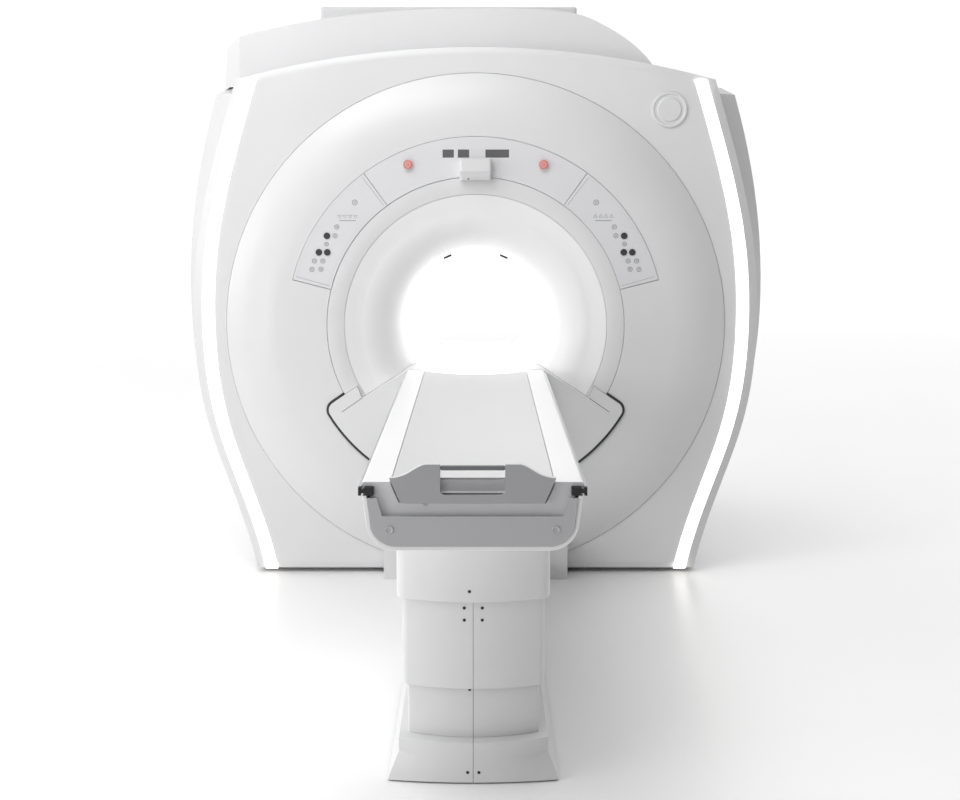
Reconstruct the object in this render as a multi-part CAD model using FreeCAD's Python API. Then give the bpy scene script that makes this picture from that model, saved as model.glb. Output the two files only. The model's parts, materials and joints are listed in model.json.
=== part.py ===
import FreeCAD, Part
import math
import os

V = FreeCAD.Vector

# MRI scanner: magnet enclosure, patient table and what they hold inside.
# Millimetres. +X to the right seen from the table, +Y from the table into the bore, +Z up.
# Origin: on the floor, straight under the isocentre.

# ---------------------------------------------------------------- driving dimensions
ISO_Z = 1035.0            # height of the bore's axis above the floor
BORE_R = 300.0            # patient bore
LINER_WALL = 6.0
FACE_Y = -862.0           # front of the panels round the bore
FRAME_Y = -800.0          # flat front of the front cover
COVER_BACK_Y = -690.0     # where the front cover ends and the side covers begin
SIDE_END_Y = 700.0        # where the side covers end and the rear cover begins
REAR_Y = 850.0            # back of the rear cover
COVER_WALL = 8.0
GAP = 2.0                 # shut line between neighbouring covers
FIT = 0.5                 # clearance of a piece in its seat
NEAR = 0.3                # clearance of a curved piece on its seat

# Front cover outline: half widths at heights, and the crown of its top edge.
COVER_BOTTOM = 20.0
COVER_SIDE = [(906, COVER_BOTTOM), (992, 313), (1102, 640), (1151, 1050), (1131, 1374), (1061, 1701),
              (966, 2025)]
COVER_CROWN = 2154.0
BEVEL_W = 36.0            # sloped margin outside the light strip
BEVEL_D = 15.0
STRIP_W = 50.0
STRIP_PROUD = 3.0
STRIP_SEAT = 3.0

# Side cover outline, which bulges past the front cover.
SIDE_SIDE = [(930, COVER_BOTTOM), (1020, 313), (1132, 640), (1198, 1050), (1193, 1374), (1147, 1701),
             (1078, 1977)]
SIDE_TOP_Z = 2006.0       # flat shoulder that the hood stands on
SIDE_TOP_X = 1018.0
SHOULDER_X = 700.0        # the shoulder runs in to here
SIDE_FLARE = 90.0         # depth of the flare that widens a side cover behind the front cover
SIDE_TUCK = 12.0          # how far the flare starts inside the front cover's outline
TUCKED_TOP = (978.0, 1977.0)      # shoulder end of the tucked outline
REAR_BEVEL = 60.0

# Rings round the bore.
DOME_R = 1016.0
PANEL_R_OUT = 759.0
PANEL_R_IN = 600.0
PARTING_R = 530.0         # funnel to bezel
CREASE_R = 470.0
FLANGE_W = 22.0           # funnel flange behind the bezel
FLANGE_DEPTH = 12.0
DOME_WALL = 6.0
SEAT_WALL = 6.0           # plate behind the panels
PANEL_T = 8.0
PANEL_END = 14.4          # lower end of a control panel, degrees above horizontal
PANEL_SPLIT = 54.0        # control panel to display panel
FUNNEL_END_Y = -628.0

# Buttons: distance from the centre line, height, radius.
STOP_X, STOP_Z, STOP_R = 270.0, 1683.5, 19.0
STOP_STEM_R = 10.0
BUTTON_R = 12.6
BUTTON_PROUD = 4.0
BUTTONS = [(596.0, 1399.5), (595.0, 1333.5), (629.0, 1333.5)]
BUTTON_GAP = 0.4

# Docking sill below the bore, either side of the table.
SILL_Y = -872.0
SILL_R = 690.0
SILL_TIP = (606.0, 704.5)    # where the upper edge would meet the round lower edge
SILL_JOG = (479.0, 792.0)    # the upper edge steps down along the funnel's parting line
SILL_KNEE = (460.0, 744.0)
SILL_TOP = (269.0, 862.0)
SILL_CORNER_R = 34.0
CHANNEL_X = 215.0         # half width of the cradle's way through the sill
SILL_WALL = 6.0
GASKET_W = 10.0
GASKET_FROM_R = 602.0

# Foot cover between table and magnet.
FOOT_X, FOOT_Z, FOOT_Y = 375.0, 145.0, -892.0

# Magnet.
OVC_R, OVC_BORE_R, OVC_Y = 920.0, 450.0, 680.0
OVC_WALL, OVC_BORE_WALL, OVC_END = 12.0, 6.0, 20.0
SHIELD_R, SHIELD_BORE_R, SHIELD_Y, SHIELD_WALL = 880.0, 478.0, 635.0, 6.0
HELIUM_R, HELIUM_BORE_R, HELIUM_Y, HELIUM_WALL = 845.0, 508.0, 600.0, 10.0
GRADIENT_R_IN, GRADIENT_Y = 350.0, 600.0
RF_R, RF_WALL, RF_Y = 322.0, 4.0, 560.0
NECK_R = 70.0
COLD_Y = 60.0
VENT_X, VENT_Y, VENT_R, VENT_WALL, VENT_TOP = -100.0, 440.0, 102.0, 4.0, 2430.0
VENT_STEP, VENT_SPIGOT = 3.0, 60.0    # the duct clamps round the reduced end
FOOT_BOLT_X, FOOT_BOLT_Y, FOOT_BOLT_R = 755.0, 450.0, 13.0

# Table, drawn with its top at bore height, the highest it goes.
TABLE_END_Y = -3050.0
DOCK_Y = -885.0
TABLE_TOP = 861.5
TABLE_X = 275.0
TRAY_BOTTOM = 690.0
TRAY_TOP = 829.0
TRAY_WALL = 11.0
CRADLE_X = 201.5
CRADLE_BOTTOM = 811.3
CRADLE_DIP = 14.0
CRADLE_WALL = 8.0
CRADLE_FAR_Y = -930.0
RAIL_IN = 203.5
T_IN, T_OUT, T_TOP = 245.0, 283.0, 850.0
HANDLE_X = 80.0
HANDLE_Z = 831.0
RUNNER_TOP = 811.0
WHEEL_R, WHEEL_Y, SHAFT_R = 30.0, -1120.0, 6.0

# Pedestal: telescoping covers with convex fronts.
LOWER_W, LOWER_FRONT, LOWER_BACK = 358.0, -2760.0, -1800.0
STEP = 14.0               # each cover stands this far outside the one below
BULGE = 40.0
PEDESTAL_WALL = 4.0
CORNER_R = 12.0            # front corners of the lower cover; the others are concentric
BASE_BULGE = 16.0
BASE_FLOOR_GAP = 4.0
LOWER_Z = (107.0, 280.0)
MIDDLE_Z = (247.0, 510.0)
UPPER_Z = (490.0, TRAY_BOTTOM)
BASE_W, BASE_FRONT, BASE_BACK = 462.0, -2836.0, -895.0
PLATE_W, PLATE_FRONT = 440.0, -2822.0
LEDGE_W, LEDGE_FRONT, LEDGE_Z = 405.0, -2796.0, 67.0
PLATE_T = 15.0
COLUMN_Y = (-2520.0, -2040.0)
COLUMN_W, COLUMN_WALL, COLUMN_GAP = 140.0, 6.0, 0.8
TABLE_BOLT_X, TABLE_BOLT_Y, TABLE_BOLT_R = 160.0, (-2720.0, -1020.0), 9.0


# ---------------------------------------------------------------- helpers
def box(x0, x1, y0, y1, z0, z1):
    return Part.makeBox(x1 - x0, y1 - y0, z1 - z0, V(x0, y0, z0))


def disc(r, y0, y1, x=0.0, z=ISO_Z):
    """Round bar along Y."""
    return Part.makeCylinder(r, y1 - y0, V(x, y0, z), V(0, 1, 0))


def ring(r_out, r_in, y0, y1):
    return disc(r_out, y0, y1).cut(disc(r_in, y0 - 1, y1 + 1))


def post(r, x, y, z0, z1):
    return Part.makeCylinder(r, z1 - z0, V(x, y, z0), V(0, 0, 1))


def plane_xz(edges, y):
    """Closed face standing at y, from edges drawn at y = 0."""
    face = Part.Face(Part.Wire(Part.__sortEdges__(edges)))
    face.translate(V(0, y, 0))
    return face


def line(a, b):
    return Part.LineSegment(a, b).toShape()


def polygon_xz(points, y0, y1):
    """Prism along Y whose section is the closed polygon of (x, z) points."""
    corners = [V(x, 0, z) for x, z in points]
    edges = [line(a, b) for a, b in zip(corners, corners[1:] + corners[:1])]
    return plane_xz(edges, y0).extrude(V(0, y1 - y0, 0))


def turned(points, arcs=()):
    """Body turned about the bore's axis from (r, y) points; arcs maps an edge number to its middle."""
    corners = [V(r, y, ISO_Z) for r, y in points]
    edges = []
    for i, a in enumerate(corners):
        b = corners[(i + 1) % len(corners)]
        if i in dict(arcs):
            r, y = dict(arcs)[i]
            edges.append(Part.Arc(a, V(r, y, ISO_Z), b).toShape())
        else:
            edges.append(line(a, b))
    face = Part.Face(Part.Wire(edges))
    return face.revolve(V(0, 0, ISO_Z), V(0, 1, 0), 360)


def polar(r, degrees):
    """Point (x, z) at radius r and an angle above the horizontal through the isocentre."""
    a = math.radians(degrees)
    return r * math.cos(a), ISO_Z + r * math.sin(a)


def sector(r_in, r_out, a0, a1, y0, y1):
    """Part of a ring between two angles, with straight ends."""
    (xa, za), (xb, zb) = polar(r_out, a0), polar(r_out, a1)
    (xc, zc), (xd, zd) = polar(r_in, a1), polar(r_in, a0)
    (xm, zm), (xn, zn) = polar(r_out, (a0 + a1) / 2), polar(r_in, (a0 + a1) / 2)
    edges = [Part.Arc(V(xa, 0, za), V(xm, 0, zm), V(xb, 0, zb)).toShape(),
             line(V(xb, 0, zb), V(xc, 0, zc)),
             Part.Arc(V(xc, 0, zc), V(xn, 0, zn), V(xd, 0, zd)).toShape(),
             line(V(xd, 0, zd), V(xa, 0, za))]
    return plane_xz(edges, y0).extrude(V(0, y1 - y0, 0))


def mirrored(shape):
    return shape.mirror(V(0, 0, 0), V(1, 0, 0))


def both(shape):
    return Part.makeCompound([shape, mirrored(shape)])


def joined(first, *rest):
    body = first
    for other in rest:
        body = body.fuse(other)
    return body.removeSplitter()


def save(node, shape):
    solids = shape.Solids
    out = solids[0] if len(solids) == 1 else Part.makeCompound(solids)
    if not solids or not all(s.isValid() for s in solids):
        print("CHECK", node, "has no solid or an invalid one")
    os.makedirs("parts", exist_ok=True)
    out.exportStep("parts/" + node + ".step")
    print(node, len(solids), "solids", round(sum(s.Volume for s in solids) / 1e9, 5), "m3")


# ---------------------------------------------------------------- outlines
def side_curve(points, inset, drop=0.0):
    """Right side of a cover outline: its points moved in by inset, its two ends pulled in by drop."""
    moved = [(x - inset, z) for x, z in points]
    moved[0] = (moved[0][0], moved[0][1] + drop)
    moved[-1] = (moved[-1][0], moved[-1][1] - drop)
    curve = Part.BSplineCurve()
    curve.interpolate([V(x, 0, z) for x, z in moved])
    return curve.toShape(), moved[0], moved[-1]


def outline(points, inset, crown, y):
    """Whole cover outline at y: curved sides, arched top and flat bottom, inset all round."""
    right, (xb, zb), (xt, zt) = side_curve(points, inset, inset)
    foot = line(V(-xb, 0, zb), V(xb, 0, zb))
    top = Part.Arc(V(-xt, 0, zt), V(0, 0, crown - inset), V(xt, 0, zt)).toShape()
    return plane_xz([right, mirrored(right), foot, top], y)


def prism(face, length):
    return face.extrude(V(0, length, 0))


def band(points, inset, width, y0, y1):
    """Curved upright band on the right side, between two insets of the outline, at full height."""
    outer, (xa, za), (xb, zb) = side_curve(points, inset)
    inner, (xc, _), (xd, _) = side_curve(points, inset + width)
    foot = line(V(xc, 0, za), V(xa, 0, za))
    top = line(V(xd, 0, zb), V(xb, 0, zb))
    return prism(plane_xz([outer, inner, foot, top], y0), y1 - y0)


# ---------------------------------------------------------------- magnet
def magnet():
    ovc = ring(OVC_R, OVC_BORE_R, -OVC_Y, OVC_Y)
    inside = ring(OVC_R - OVC_WALL, OVC_BORE_R + OVC_BORE_WALL, OVC_END - OVC_Y, OVC_Y - OVC_END)
    neck = post(NECK_R, 0, COLD_Y, ISO_Z + HELIUM_R - 60, ISO_Z + OVC_R + 30)
    save("vacuum_vessel", ovc.cut(inside).cut(neck))

    shield = ring(SHIELD_R, SHIELD_BORE_R, -SHIELD_Y, SHIELD_Y)
    inside = ring(SHIELD_R - SHIELD_WALL, SHIELD_BORE_R + SHIELD_WALL, SHIELD_WALL - SHIELD_Y,
                  SHIELD_Y - SHIELD_WALL)
    shield = shield.cut(inside).cut(neck)

    helium = ring(HELIUM_R, HELIUM_BORE_R, -HELIUM_Y, HELIUM_Y)
    inside = ring(HELIUM_R - HELIUM_WALL, HELIUM_BORE_R + HELIUM_WALL, HELIUM_WALL - HELIUM_Y,
                  HELIUM_Y - HELIUM_WALL)
    save("helium_vessel", helium.cut(inside).cut(neck))

    # Main windings stand on the helium vessel's inner tube, the shield windings hang on its end plates.
    coils = []
    winding_r = HELIUM_BORE_R + HELIUM_WALL + NEAR
    for y, width in ((70, 90), (230, 110), (460, 150)):
        for side in (-1, 1):
            mid = side * y
            coils.append(ring(winding_r + 70, winding_r, mid - width / 2, mid + width / 2))
    coil_y = HELIUM_Y - HELIUM_WALL
    coils.append(ring(HELIUM_R - 30, HELIUM_R - 100, coil_y - 110, coil_y))
    coils.append(ring(HELIUM_R - 30, HELIUM_R - 100, -coil_y, 110 - coil_y))
    save("superconducting_coils", Part.makeCompound(coils))

    # Suspension posts: a thick shoulder carries the shield, a thin end carries the helium vessel.
    posts = []
    post_r = (HELIUM_R + HELIUM_BORE_R) / 2
    for turn in (45, 135, 225, 315):
        x, z = polar(post_r, turn)
        for side in (-1, 1):
            far, mid, near = side * (OVC_Y - OVC_END), side * SHIELD_Y, side * HELIUM_Y
            shoulder = disc(20, min(far, mid), max(far, mid), x, z)
            pin = disc(12, min(mid, near), max(mid, near), x, z)
            posts.append(shoulder.fuse(pin).removeSplitter())
            shield = shield.cut(disc(12 + NEAR, min(mid, near) - 1, max(mid, near) + 1, x, z))
    save("suspension_posts", Part.makeCompound(posts))
    save("radiation_shield", shield)

    # Cold head: flange on the vessel, neck down to the helium vessel, motor on top.
    top = ISO_Z + OVC_R
    foot_z = ISO_Z + HELIUM_R - 40
    cold = joined(post(NECK_R - 1, 0, COLD_Y, foot_z, top + 2),
                  post(130, 0, COLD_Y, top - 5, top + 22).cut(disc(OVC_R + NEAR, -500, 500)),
                  post(55, 0, COLD_Y, top + 20, top + 190),
                  box(-70, 70, COLD_Y - 60, COLD_Y + 120, top + 120, top + 250))
    save("cold_head", cold)

    pipe = joined(post(VENT_R, VENT_X, VENT_Y, ISO_Z, VENT_TOP),
                  post(VENT_R + VENT_STEP, VENT_X, VENT_Y, ISO_Z, VENT_TOP - VENT_SPIGOT),
                  post(VENT_R + 28, VENT_X, VENT_Y, ISO_Z, top + 20))
    pipe = pipe.cut(post(VENT_R - VENT_WALL, VENT_X, VENT_Y, ISO_Z - 1, VENT_TOP + 1))
    save("quench_vent_pipe", pipe.cut(disc(OVC_R + NEAR, -OVC_Y, OVC_Y)))

    save("gradient_coil", ring(OVC_BORE_R - NEAR, GRADIENT_R_IN, -GRADIENT_Y, GRADIENT_Y))

    # Body coil: thin tube with end rings and sixteen rungs.
    rf = ring(RF_R + RF_WALL, RF_R, -RF_Y, RF_Y)
    carrier = GRADIENT_R_IN - NEAR
    for y in (-RF_Y, RF_Y - 40):
        rf = rf.fuse(ring(carrier, RF_R, y, y + 40))
    for i in range(16):
        x, z = polar(RF_R + RF_WALL, 22.5 * i)
        rung = box(-2, 5, -RF_Y, RF_Y, -12, 12)
        rung.rotate(V(0, 0, 0), V(0, 1, 0), -22.5 * i)
        rung.translate(V(x, 0, z))
        rf = rf.fuse(rung)
    save("rf_body_coil", rf.removeSplitter())

    foot = joined(box(560, 800, FOOT_BOLT_Y - 90, FOOT_BOLT_Y + 90, 0, 25),
                  box(560, 690, FOOT_BOLT_Y - 70, FOOT_BOLT_Y + 70, 25, 600))
    foot = foot.cut(disc(OVC_R + NEAR, 0, OVC_Y))
    foot = foot.cut(post(FOOT_BOLT_R, FOOT_BOLT_X, FOOT_BOLT_Y, -1, 26))
    foot = foot.Solids[0]
    rear = both(foot)
    front = rear.mirror(V(0, 0, 0), V(0, 1, 0))
    save("magnet_feet", Part.makeCompound([rear, front]))


# ---------------------------------------------------------------- bore
def tip_round():
    """Rounded tip of the sill: where its arc leaves the upper edge, its middle, where it meets the rim."""
    start, tip = V(SILL_JOG[0], 0, SILL_JOG[1]), V(SILL_TIP[0], 0, SILL_TIP[1])
    centre = V(0, 0, ISO_Z)
    along = (tip - start).normalize()
    inward = V(along.z, 0, -along.x)
    base = start + inward * SILL_CORNER_R - centre
    reach = SILL_R - SILL_CORNER_R
    run = base.dot(along)
    t = -run + math.sqrt(run * run - base.dot(base) + reach * reach)
    hub = start + inward * SILL_CORNER_R + along * t
    leave = start + along * t
    meet = centre + (hub - centre) * (SILL_R / reach)
    middle = hub + ((leave - hub) + (meet - hub)).normalize() * SILL_CORNER_R
    return leave, middle, meet


def sill_face(y, grow=0.0):
    """Fan shaped outline of the docking sill: channel, two stepped tops, round tips and bottom."""
    leave, middle, meet = tip_round()
    corners = [(CHANNEL_X, bridge_bottom()), (CHANNEL_X, SILL_TOP[1]), SILL_TOP, SILL_KNEE, SILL_JOG]
    right = [V(x, 0, z) for x, z in corners] + [leave]
    half = [line(a, b) for a, b in zip(right, right[1:])]
    half.append(Part.Arc(leave, middle, meet).toShape())
    edges = half + [mirrored(edge) for edge in half]
    edges.append(line(right[0], V(-right[0].x, 0, right[0].z)))
    edges.append(Part.Arc(meet, V(0, 0, ISO_Z - SILL_R), V(-meet.x, 0, meet.z)).toShape())
    wire = Part.Wire(Part.__sortEdges__(edges))
    if grow:
        wire = wire.makeOffset2D(grow, 0, False, False)
    face = Part.Face(wire)
    face.translate(V(0, y, 0))
    return face


def bridge_bottom():
    return RUNNER_TOP - 19.0


def funnel_shape():
    """Trumpet from the parting circle down to the bore."""
    lip_r, lip_y = BORE_R + LINER_WALL, FUNNEL_END_Y
    flange_r = PARTING_R + FLANGE_W
    outer = [(PARTING_R - GAP / 2, FACE_Y + 8), (CREASE_R, FACE_Y + 24), (BORE_R, lip_y - 20),
             (BORE_R, lip_y), (lip_r, lip_y), (lip_r, lip_y - 20), (CREASE_R + 6, FACE_Y + 33),
             (flange_r, FACE_Y + FLANGE_DEPTH + 4), (flange_r, FACE_Y + FLANGE_DEPTH),
             (PARTING_R - GAP / 2, FACE_Y + FLANGE_DEPTH)]
    bend = (344.0, -775.0)
    arcs = {1: bend, 5: (bend[0] + 7.0, bend[1] + 6.0)}
    return turned(outer, arcs)


def bezel_shape():
    """Narrow convex ring between funnel and panels, with a lip over the funnel's flange."""
    r0, r1 = PARTING_R + GAP / 2, PANEL_R_IN - GAP / 2
    mid = (r0 + r1) / 2
    step = PARTING_R + FLANGE_W + GAP
    points = [(r0, FACE_Y + 7), (r1, FACE_Y + 2), (r1, FACE_Y + PANEL_T), (step, FACE_Y + PANEL_T),
              (step, FACE_Y + FLANGE_DEPTH), (r0, FACE_Y + FLANGE_DEPTH)]
    return turned(points, {0: (mid, FACE_Y + 1.5)})


DOME_EDGE_Y = FRAME_Y + 6


def dome_shape():
    """Convex cover round the panels; a flat seat behind the panels carries them and the bezel."""
    r0, r1 = PANEL_R_IN + GAP / 2, DOME_R - GAP
    flat = PANEL_R_OUT + 12
    bend = ((flat + r1) / 2 + 14, FACE_Y + 16)
    lift = DOME_WALL
    points = [(r0, FACE_Y), (flat, FACE_Y + 2), (r1, DOME_EDGE_Y - 10), (r1, DOME_EDGE_Y),
              (r1 - 24, DOME_EDGE_Y), (flat, FACE_Y + 2 + lift), (r0, FACE_Y + PANEL_T)]
    arcs = {1: bend, 4: (bend[0] - 6, bend[1] + lift + 3)}
    return turned(points, arcs)


def bore():
    liner = ring(BORE_R + LINER_WALL, BORE_R, FUNNEL_END_Y, -FUNNEL_END_Y)
    lamps = []
    for turn in (62, 118):
        lamp = sector(BORE_R + 1, BORE_R + 4, turn - 2.5, turn + 2.5, FUNNEL_END_Y + 60, -FUNNEL_END_Y - 60)
        slot = sector(BORE_R - 5, BORE_R + 4.2, turn - 2.6, turn + 2.6, FUNNEL_END_Y + 59.5,
                      -FUNNEL_END_Y - 59.5)
        lamps.append(lamp)
        liner = liner.cut(slot)
    save("bore_liner", liner)
    save("bore_lights", Part.makeCompound(lamps))

    # Bridge that carries the cradle through the bore, on two ribs standing on the liner.
    bottom = bridge_bottom()
    bridge = box(-165, 165, SILL_Y, -FUNNEL_END_Y, bottom, RUNNER_TOP)
    for x in (-105, 95):
        rib = box(x, x + 10, FUNNEL_END_Y + 8, -FUNNEL_END_Y, ISO_Z - BORE_R, bottom)
        bridge = bridge.fuse(rib.common(disc(BORE_R - NEAR, -OVC_Y, OVC_Y)))
    save("bore_bridge", bridge.removeSplitter())

    # Sill: open at the back, its front part reaches the vessel's face, its middle reaches the liner.
    deep = disc(OVC_BORE_R - 22, SILL_Y, FUNNEL_END_Y - 4)
    back = -OVC_Y - FIT
    face, pocket = sill_face(SILL_Y), sill_face(SILL_Y + SILL_WALL, -SILL_WALL)
    sill = prism(face, back - SILL_Y).fuse(prism(face, FUNNEL_END_Y - 4 - SILL_Y).common(deep))
    sill = sill.cut(prism(pocket, 300)).removeSplitter()
    save("dock_sill_cover", sill)

    room = prism(sill_face(SILL_Y - 20, GAP / 2), 400)
    wide = prism(sill_face(SILL_Y - 20, GASKET_W + FIT), 400)
    gasket = prism(sill_face(SILL_Y + 4, GASKET_W), 14).cut(prism(sill_face(SILL_Y - 1, NEAR), 40))
    gasket = gasket.cut(disc(GASKET_FROM_R, SILL_Y - 20, SILL_Y + 60))
    save("dock_gasket", gasket)

    above = box(-CHANNEL_X - 1, CHANNEL_X + 1, SILL_Y - 20, FUNNEL_END_Y + 1, bottom, SILL_TOP[1] + 60)
    above = above.common(box(-900, 900, -2000, 0, 0, SILL_TOP[1] + GAP))
    save("front_funnel", funnel_shape().cut(room).cut(above).Solids[0])
    gasket_room = wide.cut(disc(GASKET_FROM_R - 4, SILL_Y - 30, 0))
    save("bezel_ring", bezel_shape().cut(room).cut(above).cut(gasket_room).Solids[0])
    return gasket_room.fuse(room)


def front_covers(sill_room):
    foot = box(-FOOT_X - FIT, FOOT_X + FIT, -950, -600, -10, FOOT_Z + FIT)

    # Dome, with its window for the three panels and the seat behind them.
    window = sector(PANEL_R_IN - 5, PANEL_R_OUT + GAP, PANEL_END - 0.2, 180 - PANEL_END + 0.2,
                    FACE_Y - 10, FACE_Y + PANEL_T)
    seat_y = FACE_Y + PANEL_T
    seat = ring(PANEL_R_OUT + 14, PANEL_R_IN - 22, seat_y, seat_y + SEAT_WALL)
    dome = dome_shape().cut(window).fuse(seat).cut(foot)
    dome = dome.cut(sill_room)

    holes = []
    panels = {"display_panel": (PANEL_SPLIT, 180 - PANEL_SPLIT),
              "right_control_panel": (PANEL_END, PANEL_SPLIT),
              "left_control_panel": (180 - PANEL_SPLIT, 180 - PANEL_END)}
    for side in (-1, 1):
        holes.append(disc(STOP_STEM_R + BUTTON_GAP, FACE_Y - 9, seat_y + 20, side * STOP_X, STOP_Z))
        for x, z in BUTTONS:
            holes.append(disc(BUTTON_R + BUTTON_GAP, FACE_Y - 9, seat_y + 20, side * x, z))
    windows = []
    for x0, x1 in ((-131, -86), (-70, -25), (40, 134)):
        windows.append(box(x0, x1, FACE_Y, FACE_Y + 2, 1711, 1743))
    cuts = Part.makeCompound(holes)
    for node, (a0, a1) in panels.items():
        margin = math.degrees(GAP / 2 / PANEL_R_IN)
        panel = sector(PANEL_R_IN + GAP / 2, PANEL_R_OUT, a0 + margin, a1 - margin, FACE_Y - 1, seat_y)
        panel = panel.cut(cuts)
        if node == "display_panel":
            for pane in windows:
                panel = panel.cut(pane).cut(pane.translated(V(0, -2, 0)))
        save(node, panel)
    save("display_windows", Part.makeCompound(windows))
    save("front_dome_cover", dome.cut(cuts).Solids[0])

    for side, name in ((-1, "left"), (1, "right")):
        head = disc(STOP_R, FACE_Y - 18, FACE_Y - 8, side * STOP_X, STOP_Z)
        rim = [e for e in head.Edges if abs(e.BoundBox.YMin - (FACE_Y - 18)) < 0.01
               and e.BoundBox.YLength < 0.01]
        head = head.makeFillet(3.5, rim)
        stem = disc(STOP_STEM_R, FACE_Y - 8, seat_y + SEAT_WALL, side * STOP_X, STOP_Z)
        save(name + "_stop_button", head.fuse(stem).removeSplitter())
        for i, (x, z) in enumerate(BUTTONS):
            button = disc(BUTTON_R, FACE_Y - 1 - BUTTON_PROUD, seat_y + SEAT_WALL, side * x, z)
            front = [e for e in button.Edges if e.BoundBox.YMax < FACE_Y - BUTTON_PROUD
                     and e.BoundBox.YLength < 0.01]
            save("%s_button_%d" % (name, i + 1), button.makeFillet(1.5, front))

    # Laser light housing over the bore, scooped out below.
    laser = box(-63, 63, FACE_Y - 70, FACE_Y - 1, 1622, 1705)
    laser = laser.cut(Part.makeCylinder(60, 200, V(-100, FACE_Y - 75, 1596), V(1, 0, 0)))
    upright = [e for e in laser.Edges if e.BoundBox.ZLength > 30 and e.BoundBox.XLength < 0.01
               and e.BoundBox.YMax < FACE_Y - 20]
    laser = laser.makeFillet(10, upright)
    save("laser_housing", laser.cut(disc(PANEL_R_IN + 2, FACE_Y - 8, FACE_Y + 9)))

    # Front cover: flat frame with a bevelled margin and a return flange.
    edge = outline(COVER_SIDE, 0, COVER_CROWN, FRAME_Y + BEVEL_D)
    front = outline(COVER_SIDE, BEVEL_W, COVER_CROWN, FRAME_Y)
    nose = Part.makeLoft([edge.OuterWire, front.OuterWire], True, True)
    skirt = prism(edge, COVER_BACK_Y - FRAME_Y - BEVEL_D)
    pocket = prism(outline(COVER_SIDE, COVER_WALL + 4, COVER_CROWN, FRAME_Y + COVER_WALL + 6),
                   COVER_BACK_Y - FRAME_Y)
    cover = nose.fuse(skirt).cut(pocket)
    opening = disc(DOME_R, FRAME_Y - 50, COVER_BACK_Y + 50)
    lip = ring(DOME_R + 30, DOME_R - 26, DOME_EDGE_Y, DOME_EDGE_Y + 6)
    inside = outline(COVER_SIDE, COVER_WALL, COVER_CROWN, FRAME_Y)
    lip = lip.common(prism(inside, 100))
    cover = cover.cut(opening).fuse(lip).cut(foot)
    strip = band(COVER_SIDE, BEVEL_W + 1, STRIP_W, FRAME_Y - STRIP_PROUD, FRAME_Y + STRIP_SEAT)
    groove = band(COVER_SIDE, BEVEL_W + 1 - FIT, STRIP_W + 2 * FIT, FRAME_Y - 20, FRAME_Y + STRIP_SEAT)
    cover = cover.cut(groove).cut(mirrored(groove))
    save("front_cover", max(cover.removeSplitter().Solids, key=lambda s: s.Volume))
    save("light_strips", both(strip))

    badge = disc(71, FRAME_Y - 8, FRAME_Y, 779, 1905).cut(disc(61, FRAME_Y - 9, FRAME_Y - 4, 779, 1905))
    save("badge_disc", badge.fuse(disc(47, FRAME_Y - 9, FRAME_Y - 2, 779, 1905)).removeSplitter())

    block = box(-FOOT_X, FOOT_X, FOOT_Y, FRAME_Y - 2, 0, FOOT_Z)
    block = block.cut(box(8 - FOOT_X, FOOT_X - 8, FOOT_Y + 8, FRAME_Y, -1, FOOT_Z - 8))
    hollow = box(-PLATE_W / 2 - FIT, PLATE_W / 2 + FIT, FOOT_Y - 1, FOOT_Y + 20, -1, PLATE_T + FIT)
    save("dock_foot_cover", block.cut(hollow))

    posts = []
    for turn in (8, 48, 90, 132, 172, 228, 312):
        x, z = polar(PANEL_R_OUT - 19, turn)
        posts.append(disc(15, seat_y + SEAT_WALL, -OVC_Y, x, z))
    save("cover_posts", Part.makeCompound(posts))


# ---------------------------------------------------------------- rest of the enclosure
def side_wire(points, y, inset, beyond):
    """Closed section of a side cover and the space in it, open shoulder and foot moved out by beyond."""
    curve, low, high = side_curve(points, inset)
    top = SIDE_TOP_Z - inset
    corner = SIDE_TOP_X - (SIDE_SIDE[-1][0] - points[-1][0]) - inset * 0.4
    foot = COVER_BOTTOM - beyond
    path = [V(high[0], 0, high[1]), V(corner, 0, top), V(SHOULDER_X - beyond, 0, top),
            V(SHOULDER_X - beyond, 0, foot), V(low[0], 0, foot)]
    if beyond:
        path.append(V(low[0], 0, low[1]))
    edges = [curve] + [line(a, b) for a, b in zip(path, path[1:])]
    wire = Part.Wire(Part.__sortEdges__(edges))
    wire.translate(V(0, y, 0))
    return wire


def side_solid(inset, beyond, y0, y1):
    """Flare behind the front cover, then a straight wall as far as the rear cover."""
    tucked = [(x - SIDE_TUCK, z) for x, z in COVER_SIDE[:-1]] + [TUCKED_TOP]
    full = COVER_BACK_Y + SIDE_FLARE
    flare = Part.makeLoft([side_wire(tucked, y0, inset, beyond), side_wire(SIDE_SIDE, full, inset, beyond)],
                          True, True)
    return flare.fuse(prism(Part.Face(side_wire(SIDE_SIDE, full, inset, beyond)), y1 - full))


# Hood section seen from the front, heights above the shoulder: left wall, corner, swept top.
HOOD_LEFT = [(-1043, -12), (-1024, 160), (-965, 200)]
HOOD_SWEEP = [(-965, 200), (-640, 268), (-313, 304), (20, 314), (300, 307), (440, 283), (520, 248),
              (643, 170), (742, 60)]
HOOD_CHAMFER = 93.9      # depth of the slope on the front left corner
HOOD_SLOPE_Z = (1900.0, 2500.0)      # that slope is cut through from below the hood to above it
LID = (-724.0, 469.0, 130.0, 330.0)      # service box in plan: left, right, front, back
LID_Z = (2250.0, 2433.0)
LID_ROUND = 12.0


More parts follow.
